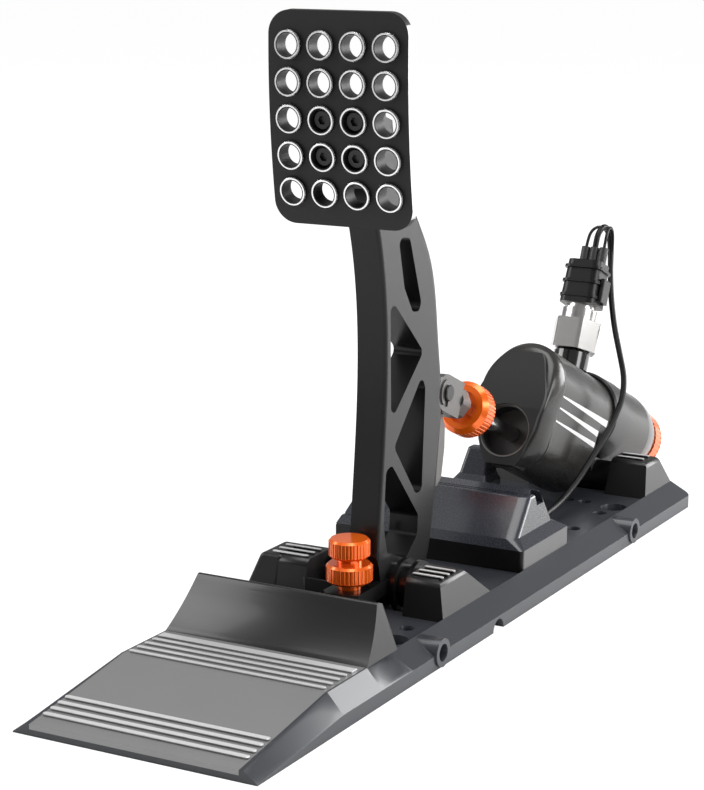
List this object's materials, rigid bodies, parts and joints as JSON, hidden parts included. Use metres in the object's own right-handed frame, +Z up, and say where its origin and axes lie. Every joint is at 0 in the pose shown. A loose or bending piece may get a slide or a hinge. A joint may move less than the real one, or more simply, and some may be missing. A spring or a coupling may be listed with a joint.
{
  "type": "sim racing brake pedal",
  "caption": "Hydraulic sim racing brake pedal: truss arm with bowed pad on a base with heel rest, push rod, tilting cylinder, pressure sensor and lead.",
  "frame": {"origin": "centre of the base's underside", "axes": "+Y from the heel rest to the rear end, +X to the driver's right, +Z up"},
  "size_m": [0.1096, 0.4877, 0.2628],
  "materials": {
    "cast_base": "satin painted casting",
    "heel_tread": "satin with bright ribs",
    "heel_stop": "brushed dark",
    "black_casting": "satin black",
    "arm_black": "satin black anodised",
    "pad_charcoal": "fine textured with bright rims",
    "orange": "glossy anodised",
    "steel": "satin",
    "bright_steel": "polished",
    "screw_steel": "black oxide",
    "bush_brass": "plain",
    "cover_charcoal": "grainy matt",
    "cylinder_black": "semi gloss",
    "inner_metal": "plain",
    "seal_rubber": "matt",
    "port_black": "gloss black",
    "nickel": "nickel plated",
    "plug_black": "moulded",
    "lead_black": "matt",
    "lid_blue_grey": "glossy",
    "box_black": "satin",
    "board_green": "plain"
  },
  "bodies": {
    "base": {"base_frame": "cast_base", "heel_plate": "heel_tread", "heel_stop": "heel_stop", "heel_plate_screws": "screw_steel", "heel_stop_screws": "screw_steel", "front_pillar_right": "black_casting", "front_pillar_left": "black_casting", "rear_pillar_right": "black_casting", "rear_pillar_left": "black_casting", "pillar_screws": "screw_steel", "arm_pin": "bright_steel", "rear_pin": "bright_steel", "housing_box": "box_black", "housing_lid": "lid_blue_grey", "control_board": "board_green", "cable_gland": "lead_black", "socket_box": "box_black", "socket_cover": "lid_blue_grey"},
    "arm": {"arm": "arm_black", "arm_bushes": "bush_brass", "clevis_tongue": "steel", "pad": "pad_charcoal", "pad_screws": "screw_steel", "return_spring": "steel"},
    "stop_screw": {"stop_screw": "orange"},
    "stop_lock_nut": {"stop_lock_nut": "orange"},
    "cylinder": {"cylinder_body": "cylinder_black", "front_cover_right": "cover_charcoal", "front_cover_left": "cover_charcoal", "bore_ring": "steel", "rod_seal": "seal_rubber", "trunnion_band": "black_casting", "rear_bushes": "bush_brass", "rear_housing": "cylinder_black", "slave_piston": "inner_metal", "elastomers": "seal_rubber", "sensor_port": "port_black", "pressure_sensor": "nickel", "sensor_plug": "plug_black", "wire_seals": "seal_rubber", "sensor_lead": "lead_black"},
    "push_rod": {"push_rod": "bright_steel", "clevis": "steel", "clevis_pin": "bright_steel", "clevis_clips": "steel", "rod_nut": "steel", "piston": "inner_metal", "piston_ring": "seal_rubber"},
    "adjuster_ring": {"adjuster_ring": "orange"},
    "rear_cap": {"rear_cap": "orange"}
  },
  "joints": [
    {"name": "arm_pivot", "type": "hinge", "parent": "base", "child": "arm", "pos_m": [0, -0.0225, 0.0155], "axis": [-1, 0, 0], "range_deg": [0, 8], "stiffness_Nm_per_rad": 60, "springref_deg": -1.72},
    {"name": "stop_screw_turn", "type": "hinge", "parent": "arm", "child": "stop_screw", "pos_m": [0, -0.0505, 0.03], "axis": [0, 0, 1], "continuous": true},
    {"name": "lock_nut_turn", "type": "hinge", "parent": "arm", "child": "stop_lock_nut", "pos_m": [0, -0.0505, 0.027], "axis": [0, 0, 1], "continuous": true},
    {"name": "cylinder_pivot", "type": "hinge", "parent": "base", "child": "cylinder", "pos_m": [0, 0.19388, 0.01617], "axis": [1, 0, 0], "range_deg": [0, 0.92]},
    {"name": "rod_slide", "type": "slide", "parent": "cylinder", "child": "push_rod", "axis": [0, 0.9128, -0.4083], "range_m": [0, 0.0125]},
    {"name": "ring_turn", "type": "hinge", "parent": "push_rod", "child": "adjuster_ring", "pos_m": [0, 0.06061, 0.07578], "axis": [0, 0.9128, -0.4083], "continuous": true},
    {"name": "cap_turn", "type": "hinge", "parent": "cylinder", "child": "rear_cap", "pos_m": [0, 0.26303, 0.01912], "axis": [0, 0.9272, -0.3746], "continuous": true}
  ],
  "couplings": [
    {"joint": "cylinder_pivot", "follows": "arm_pivot", "ratio": 0.1124},
    {"joint": "rod_slide", "follows": "arm_pivot", "m_per_rad": 0.0875}
  ]
}
